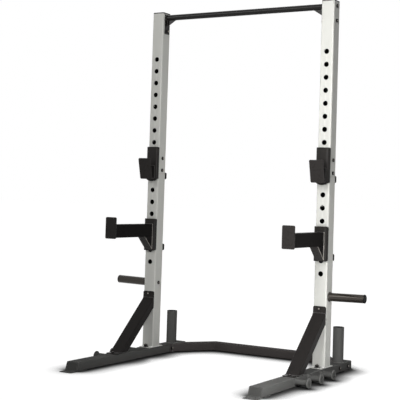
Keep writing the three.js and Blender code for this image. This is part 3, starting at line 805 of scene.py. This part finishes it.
bar_inside = half_spacing - upright_half
bar_end = bar_inside - bar_plate[2]
bar_plate_middle = at(0, 0, bar_height + bar_plate_top - bar_plate[1] / 2)
bar_plate_outline = rectangle(bar_plate[0], bar_plate[1], bar_plate_corner)
bar_forms = [rod(bar_diameter, at(-bar_end, 0, bar_height), at(bar_end, 0, bar_height))]
bar_beads = []
for side in (-1, 1):
    low, high = sorted((side * bar_inside, side * bar_end))
    bar_forms.append(plate(bar_plate_outline, Y, Z, low, high, bar_plate_middle))
    top = bar_height - bar_diameter / 2 + gusset_bite
    root = bar_height - gusset_drop
    tip = side * (bar_end - gusset_reach)
    outline = [(side * bar_end, top), (side * bar_end, root), (tip, top)]
    bar_forms.append(plate(outline, X, Z, -gusset_thickness / 2, gusset_thickness / 2))
    bead_ring = ring(circle(bar_diameter), (at(side * bar_end, 0, bar_height), Y, Z))
    bar_beads.append(weld(bead_ring, small_weld_size, closed=True))
    for face in (-1, 1):
        y = face * gusset_thickness / 2
        bar_beads.append(weld([at(side * bar_end, y, root), at(side * bar_end, y, top)], small_weld_size))
        bar_beads.append(weld([at(side * bar_end, y, top), at(tip, y, top)], small_weld_size))
piece("pull_up_bar_look", together(*bar_forms), ["gloss_black"], replaces="pull_up_bar", slot="satin_black")
piece("pull_up_bar_weld", together(*bar_beads), ["weld_black"], round_edge=0, slot="satin_black")

# Plate pegs, bar tubes and band pegs


def peg_place(distance):
    return at(upright_half + distance, 0, peg_height + peg_rise * distance / peg_length)


peg_axis = (peg_place(peg_length) - peg_place(0)).normalized()
peg_end = peg_place(peg_length - peg_cap[1])
peg_flange_form = rod(peg_flange[0], peg_place(0), at(upright_half + peg_flange[1], 0, peg_height))
peg_form = rod(peg_diameter, peg_place(peg_flange[1] / 2), peg_end)
both("plate_peg", together(peg_flange_form, peg_form), ["peg_bronze"])
peg_root = ring(circle(peg_diameter), (peg_place(peg_flange[1]), Y, Z))
both("plate_peg_weld", weld(peg_root, weld_size, closed=True), ["peg_bronze"], stands=False, round_edge=0)
rim = peg_cap[0] / 2
cap_arc = [math.pi / 2 * step / corner_steps for step in range(corner_steps + 1)]
cap_profile = [(rim, 0)] + [
    (rim - peg_cap_round * (1 - math.cos(angle)), peg_cap[1] - peg_cap_round * (1 - math.sin(angle)))
    for angle in cap_arc
]
both("plate_peg_cap", turned(cap_profile, peg_end, peg_axis), ["moulded_black"], round_edge=0)
holder_outline = circle(holder_diameter)
holder_bore = circle(holder_diameter - 2 * holder_wall)
holder_ends = ends(at(0, holder_centre, foot_top), at(0, holder_centre, foot_top + holder_height), X)
holder_form = hollow(holder_outline, holder_bore, holder_ends)
both("bar_holder", holder_form, ["frame_charcoal", "painted_shade_inside"])
holder_foot = weld(ring(holder_outline, (at(0, holder_centre, foot_top), X, Y)), weld_size, closed=True)
both("bar_holder_weld", holder_foot, ["weld_charcoal"], stands=False, round_edge=0, slot="frame_charcoal")


def band_peg(place):
    flare_end = band_peg_length - band_peg_rim_width - band_peg_flare
    profile = []
    for angle in cap_arc:
        radius = band_peg_root - (band_peg_root - band_peg_shaft) * math.sin(angle)
        profile.append((radius, band_peg_flare * (1 - math.cos(angle))))
    for angle in cap_arc:
        radius = band_peg_shaft + (band_peg_rim - band_peg_shaft) * (1 - math.cos(angle))
        profile.append((radius, flare_end + band_peg_flare * math.sin(angle)))
    profile.append((band_peg_rim, band_peg_length - edge_round))
    profile.append((band_peg_rim - edge_round, band_peg_length))
    profile.append((band_peg_dish[0], band_peg_length))
    profile.append((band_peg_dish[0] - edge_round, band_peg_length - band_peg_dish[1]))
    return turned(profile, at(foot_size[0] / 2, place, band_peg_height), X)


for where, place in band_peg_places.items():
    both(f"band_peg_{where}", band_peg(place), ["frame_charcoal"], round_edge=0)

# Brackets, hooks and arms


def bracket_sheet(below, height):
    """A sheet bent into a shallow channel that is open to the back."""
    half = bracket_width / 2
    back = bracket_front + bracket_return
    outer, inner = [], []
    for step in range(corner_steps + 1):
        angle = math.pi / 2 * step / corner_steps
        turn = (math.cos(angle), math.sin(angle))
        centre = (half - bracket_bend, bracket_front + bracket_bend)
        outer.append((centre[0] + bracket_bend * turn[0], centre[1] - bracket_bend * turn[1]))
        small = bracket_bend - bracket_wall
        inner.append((centre[0] + small * turn[0], centre[1] - small * turn[1]))
    right = [(half, back)] + outer
    right_inner = [(half - bracket_wall, back)] + inner
    outline = right + [(-x, y) for x, y in reversed(right)]
    outline += [(-x, y) for x, y in right_inner] + [place for place in reversed(right_inner)]
    return solid(outline, [(at(0, 0, height - below), X, Y), (at(0, 0, height + bracket_top), X, Y)])


def arched_foot(rise):
    """How far a bracket's lower edge rises, from its left end to its right end."""
    half = bracket_width / 2
    radius = (half ** 2 + rise ** 2) / (2 * rise)
    across = [half * (2 * step / arch_steps - 1) for step in range(arch_steps + 1)]
    return [(x, radius - math.sqrt(radius ** 2 - x ** 2)) for x in across]


def cut_foot(corner):
    half = bracket_width / 2
    return [(-half, corner), (corner - half, 0), (half - corner, 0), (half, corner)]


def bracket_keep(below, foot, height):
    """What is left of the sheet's front once its edges are shaped."""
    half = bracket_width / 2
    corner = bracket_corner
    shape = [
        (half, bracket_top - corner),
        (half - corner, bracket_top),
        (corner - half, bracket_top),
        (-half, bracket_top - corner),
    ]
    shape += [(x, rise - below) for x, rise in foot]
    depth = -bracket_front + overrun
    near = -bracket_front - bracket_return - overrun
    return plate(shape, X, Z, near, depth, at(0, 0, height))


def insert(height):
    start = at(0, bracket_front + bracket_wall, height)
    length = insert_reach - upright_half - start.y
    radius = insert_diameter / 2
    profile = [(radius, 0), (radius, length - insert_chamfer), (radius - insert_chamfer, length)]
    return turned(profile, start, Y)


def bracket_inserts(height):
    """The two inserts of a bracket, in the holes above its lock pin's."""
    return together(insert(height + hole_pitch), insert(height + 2 * hole_pitch))


def lip_form(height):
    top = at(0, -upright_half + hook_lip[0][0], height + hook_lip[0][1])
    bottom = at(0, -upright_half + hook_lip[1][0], height + hook_lip[1][1])
    slope = top - bottom
    up = slope.normalized()
    outline = rectangle(hook_lip_width, slope.length, lip_corner)
    lip = plate(outline, X, up, -hook_lip_thickness, 0, (top + bottom) / 2)
    middle = height + hook_tube_bottom + tube_size[1] / 2
    normal = X.cross(up)
    share = (middle - bottom.z) / slope.z
    meet = bottom.y + share * slope.y + hook_lip_thickness / abs(normal.y)
    return lip, ends(at(0, bracket_front, middle), at(0, meet, middle), X, None, normal)


def junction_welds(stations):
    outline = rectangle(tube_size[0], tube_size[1], tube_corner)
    return together(*[weld(ring(outline, place), weld_size, closed=True) for place in stations])


def add_hook():
    height = hook_pin_height
    sheet = bracket_sheet(hook_below, height)
    both("j_hook", sheet, ["bracket_black", "painted_shade_inside"], body="j_hook", slot="satin_black",
         keep=bracket_keep(hook_below, arched_foot(hook_foot_rise), height))
    lip, tube_ends = lip_form(height)
    both("j_hook_lip", lip, ["satin_black"], body="j_hook", stands=False, round_edge=plate_edge_round)
    tube = box_tube(tube_size, tube_wall, tube_corner, tube_ends)
    both("j_hook_tube", tube, ["tube_black", "painted_shade_inside"], body="j_hook", stands=False, slot="satin_black")
    both("j_hook_weld", junction_welds(tube_ends), ["weld_black"], body="j_hook", stands=False, round_edge=0,
         slot="satin_black")
    both("j_hook_inserts", bracket_inserts(height), ["bolt_steel"], body="j_hook", stands=False,
         round_edge=small_edge_round)


def add_arm():
    height = arm_pin_height
    sheet = bracket_sheet(arm_below, height)
    both("spotter_arm", sheet, ["bracket_black", "painted_shade_inside"], body="spotter_arm", slot="satin_black",
         keep=bracket_keep(arm_below, cut_foot(arm_foot_cut), height))
    middle = height + arm_tube_bottom + tube_size[1] / 2
    end = -upright_half - arm_reach
    tube_ends = ends(at(0, bracket_front, middle), at(0, end + arm_plate[2], middle), X)
    tube = box_tube(tube_size, tube_wall, tube_corner, tube_ends)
    both("spotter_arm_tube", tube, ["tube_black", "painted_shade_inside"], body="spotter_arm", stands=False,
         slot="satin_black")
    outline = rectangle(arm_plate[0], arm_plate[1], lip_corner)
    plate_middle = at(0, 0, height + arm_plate_bottom + arm_plate[1] / 2)
    both("spotter_arm_plate", plate(outline, X, Z, -end - arm_plate[2], -end, plate_middle), ["satin_black"],
         body="spotter_arm", stands=False, round_edge=plate_edge_round)
    strut_top = at(0, -upright_half - strut_reach, height + arm_tube_bottom)
    strut_end = at(0, bracket_front, height + strut_foot)
    strut_outline = rectangle(strut[0], strut[1], edge_round)
    both("spotter_arm_strut", solid(strut_outline, ends(strut_end, strut_top, X, Y, Z)), ["satin_black"],
         body="spotter_arm", stands=False, round_edge=0)
    half = strut[0] / 2
    tube_under = height + arm_tube_bottom
    gusset_outline = [(bracket_front, strut_end.z), (bracket_front, tube_under), (strut_top.y, tube_under)]
    gusset_faces = ((-half, gusset_plate - half), (half - gusset_plate, half))
    gussets = [plate(gusset_outline, Y, Z, low, high) for low, high in gusset_faces]
    both("spotter_arm_gussets", together(*gussets), ["tube_black"], body="spotter_arm", stands=False,
         round_edge=small_edge_round, slot="satin_black")
    tube_over = tube_under + tube_size[1]
    # The side beads are painted light, as painted highlight along the arm's sides.
    side_beads = [
        weld([at(x, bracket_front, tube_over), at(x, bracket_front, strut_end.z)], painted_highlight_weld_size)
        for x in (-half, half)
    ]
    side_beads += [
        weld([at(x, strut_end.y, strut_end.z), at(x, strut_top.y, strut_top.z)], small_weld_size)
        for x in (-half, half)
    ]
    both("spotter_arm_painted_highlight_weld", together(*side_beads), ["weld_painted_highlight"], body="spotter_arm", stands=False,
         round_edge=0, slot="satin_black")
    strut_beads = [
        weld([at(-half, place.y, place.z), at(half, place.y, place.z)], small_weld_size)
        for place in (strut_top, strut_end)
    ]
    both("spotter_arm_weld", together(junction_welds(tube_ends), *strut_beads), ["weld_black"],
         body="spotter_arm", stands=False, round_edge=0, slot="satin_black")
    both("spotter_arm_inserts", bracket_inserts(height), ["bolt_steel"], body="spotter_arm", stands=False,
         round_edge=small_edge_round)


def pad_form(below, height):
    bottom = pad_margin - below
    top = bracket_top - pad_margin
    front = bracket_front + bracket_wall + fit_gap
    middle = at(0, 0, height + (top + bottom) / 2)
    outline = rectangle(pad_width, top - bottom, pad_corner)
    return plate(outline, X, Z, upright_half + fit_gap, -front, middle)


def lock_pin_form(height):
    back = upright_half + fit_gap + lock_handle[2]
    outline = rectangle(lock_handle[0], lock_handle[1], lock_handle_corner)
    middle = at(0, 0, height + lock_handle_rise)
    return plate(outline, X, Z, -back, -upright_half - fit_gap, middle)


def lock_shaft(height):
    tip = at(0, -upright_half - lock_pin_bite, height)
    radius = lock_pin_diameter / 2
    length = upright_half + fit_gap - tip.y
    return turned([(radius - insert_chamfer, 0), (radius, insert_chamfer), (radius, length)], tip, Y)


add_hook()
add_arm()
pad_bore = insert_diameter + 2 * fit_gap
brackets = {"j_hook": (hook_below, hook_pin_height), "spotter_arm": (arm_below, arm_pin_height)}
for what, (below, height) in brackets.items():
    bores = together(*[
        rod(pad_bore, at(0, bracket_front - overrun, level), at(0, 0, level), hole_sides)
        for level in (height, height + hole_pitch, height + 2 * hole_pitch)
    ])
    both(f"{what}_pad", pad_form(below, height), ["moulded_black"], body=what, cutter=bores)
    both(f"{what}_lock_pin", lock_pin_form(height), ["moulded_black"], body=f"{what}_lock_pin",
         round_edge=handle_edge_round)
    both(f"{what}_lock_shaft", lock_shaft(height), ["moulded_black"], body=f"{what}_lock_pin", stands=False,
         round_edge=0)

# Fasteners

tapped_end = -upright_half - bar_plate[2]
bar_bolt_low = bar_height - bar_bolt_drop
foot_side = foot_size[0] / 2
brace_face = -upright_half - brace_plate
brace_top = foot_top + brace_plate
fasteners = {}
for where, height in splice_heights.items():
    fasteners[f"splice_bolt_{where}"] = bolt(at(upright_half, 0, height), at(-upright_half, 0, height))
fasteners["pull_up_bolt_upper"] = screw(at(upright_half, 0, bar_height), at(tapped_end, 0, bar_height))
fasteners["pull_up_bolt_lower"] = bolt(at(upright_half, 0, bar_bolt_low), at(tapped_end, 0, bar_bolt_low))
for where, place in cross_bolts.items():
    nut_seat = at(-foot_side - cross_flange[2], place, foot_middle)
    fasteners[f"crossmember_bolt_{where}"] = bolt(at(foot_side, place, foot_middle), nut_seat)
fasteners["peg_bolt"] = screw(at(-upright_half, 0, peg_height), at(upright_half, 0, peg_height))
upper_seat = at(0, brace_face, brace_bolt_height)
fasteners["brace_bolt_upper"] = screw(upper_seat, at(0, -upright_half, brace_bolt_height))
fasteners["brace_bolt_lower"] = screw(at(0, brace_bolt_front, brace_top), at(0, brace_bolt_front, foot_top))
for node, form in fasteners.items():
    both(node, form, bolt_finishes, round_edge=0)
for label in sides:
    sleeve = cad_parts[f"splice_sleeve_{label}"]
    sleeve.data.materials.clear()
    sleeve.data.materials.append(materials["bolt_steel"])

# Floor and background
# The floor is drawn white for the eye, and an ambient occlusion node paints a soft contact shadow on it.

floor_reach = 60
floor_colour = (0.8, 0.8, 0.8, 1)
floor_lift = 1
floor_roughness = 0.9
contact_shadow_colour = (0.04, 0.04, 0.04, 1)
shadow_reach = 0.16
shadow_fall = 9
shadow_gain = 1.05
shadow_samples = 32
floor_seen_share = 0.15
white = (1, 1, 1, 1)
ambient = 0.035
backdrop_strength = 1


def math_node(tree, operation, first, second):
    """A math node on two values, each of which is a socket or a number."""
    node = tree.nodes.new("ShaderNodeMath")
    node.operation = operation
    for socket, value in zip(node.inputs, (first, second)):
        if isinstance(value, (int, float)):
            socket.default_value = value
        else:
            tree.links.new(value, socket)
    return node


def ranged(tree, value, low, high):
    """A value from zero to one carried to another range."""
    node = tree.nodes.new("ShaderNodeMapRange")
    node.inputs["To Min"].default_value = low
    node.inputs["To Max"].default_value = high
    tree.links.new(value, node.inputs["Value"])
    return node.outputs["Result"]


def seen_by_eye(tree):
    """One where the ray comes from the camera, a reflection or a glass."""
    path = tree.nodes.new("ShaderNodeLightPath")
    total = path.outputs["Is Camera Ray"]
    for name in ("Is Glossy Ray", "Is Transmission Ray"):
        total = math_node(tree, "MAXIMUM", total, path.outputs[name]).outputs["Value"]
    return total


floor_mesh = bpy.data.meshes.new("floor")
corners = [(-floor_reach, -floor_reach, 0), (floor_reach, -floor_reach, 0), (floor_reach, floor_reach, 0),
           (-floor_reach, floor_reach, 0)]
floor_mesh.from_pydata(corners, [], [(0, 1, 2, 3)])
floor = bpy.data.objects.new("floor", floor_mesh)
bpy.context.scene.collection.objects.link(floor)
floor_material = bpy.data.materials.new("pale_floor")
floor_material.use_nodes = True
floor_tree = floor_material.node_tree
floor_shader = floor_tree.nodes["Principled BSDF"]
floor_shader.inputs["Roughness"].default_value = floor_roughness
floor_shader.inputs["Specular IOR Level"].default_value = 0
floor_shader.inputs["Emission Color"].default_value = white
openness = floor_tree.nodes.new("ShaderNodeAmbientOcclusion")
openness.inputs["Distance"].default_value = shadow_reach
openness.samples = shadow_samples
fall = math_node(floor_tree, "POWER", openness.outputs["AO"], shadow_fall)
clear = math_node(floor_tree, "MULTIPLY", fall.outputs["Value"], shadow_gain)
clear.use_clamp = True
shaded = floor_tree.nodes.new("ShaderNodeMix")
shaded.data_type = "RGBA"
shaded.inputs["A"].default_value = contact_shadow_colour
shaded.inputs["B"].default_value = floor_colour
seen = seen_by_eye(floor_tree)
lit_share = ranged(floor_tree, seen, 1, floor_seen_share)
lit = math_node(floor_tree, "MULTIPLY", clear.outputs["Value"], lit_share)
floor_tree.links.new(lit.outputs["Value"], shaded.inputs["Factor"])
floor_tree.links.new(shaded.outputs["Result"], floor_shader.inputs["Base Color"])
lift_share = ranged(floor_tree, clear.outputs["Value"], 0, floor_lift)
lift = math_node(floor_tree, "MULTIPLY", seen, lift_share)
floor_tree.links.new(lift.outputs["Value"], floor_shader.inputs["Emission Strength"])
floor_mesh.materials.append(floor_material)

world = bpy.data.worlds.new("studio")
bpy.context.scene.world = world
world.use_nodes = True
background = world.node_tree.nodes["Background"]
background.inputs["Color"].default_value = white
strength = ranged(world.node_tree, seen_by_eye(world.node_tree), ambient, backdrop_strength)
world.node_tree.links.new(strength, background.inputs["Strength"])

# Lamps: place, target, width, height and power
# The near and low lamps light the right upright more than the left, as in the photograph.

lamps = {
    "front": ((-2.3, -4.2, 3.4), (0.1, 0.2, 1.2), 2.4, 2.2, 67),
    "near": ((0.86, -1.25, 1.7), (1.07, 0.15, 1.55), 0.4, 1.4, 29),
    "low": ((1.2, -0.8, 0.4), (0.7, 0.2, 0.2), 0.5, 0.3, 8),
    "back": ((-1.2, 4.6, 2.9), (0, 0.2, 1.1), 2.2, 2.2, 40),
    "right": ((4.4, -0.7, 1.9), (0.6, 0.1, 1.2), 0.1, 1.6, 6),
    "left": ((-4.6, -2.3, 1.8), (0.3, 0.2, 1.2), 0.5, 2.4, 3),
    "top": ((0.2, -0.3, 4.5), (0.2, 0, 0), 3.2, 3.2, 14),
}
for name, (place, target, width, height, power) in lamps.items():
    light = bpy.data.lights.new(name, "AREA")
    light.shape = "RECTANGLE"
    light.size = width
    light.size_y = height
    light.energy = power
    lamp = bpy.data.objects.new(name, light)
    lamp.location = place
    lamp.rotation_euler = (Vector(target) - Vector(place)).to_track_quat("-Z", "Y").to_euler()
    lamp.visible_camera = False
    bpy.context.scene.collection.objects.link(lamp)

# Camera, at the photograph's viewpoint

camera_place = (3.05760, -5.21428, 1.01357)
camera_yaw = math.radians(30.276)
camera_pitch = math.radians(2.275)
camera_roll = math.radians(1.783)
camera_lens = 92.36
camera_shift = (-0.0625, -0.113)
forward = Vector((
    -math.sin(camera_yaw) * math.cos(camera_pitch),
    math.cos(camera_yaw) * math.cos(camera_pitch),
    math.sin(camera_pitch),
))
level_right = Vector((math.cos(camera_yaw), math.sin(camera_yaw), 0))
level_up = level_right.cross(forward)
right = level_right * math.cos(camera_roll) + level_up * math.sin(camera_roll)
up = level_up * math.cos(camera_roll) - level_right * math.sin(camera_roll)
camera_data = bpy.data.cameras.new("camera")
camera_data.lens = camera_lens
camera_data.sensor_fit = "HORIZONTAL"
camera_data.shift_x, camera_data.shift_y = camera_shift
camera = bpy.data.objects.new("camera", camera_data)
axes = Matrix((right, up, -forward)).transposed().to_4x4()
camera.matrix_world = Matrix.Translation(camera_place) @ axes
bpy.context.scene.collection.objects.link(camera)
bpy.context.scene.camera = camera
bpy.context.scene.view_settings.view_transform = "Standard"
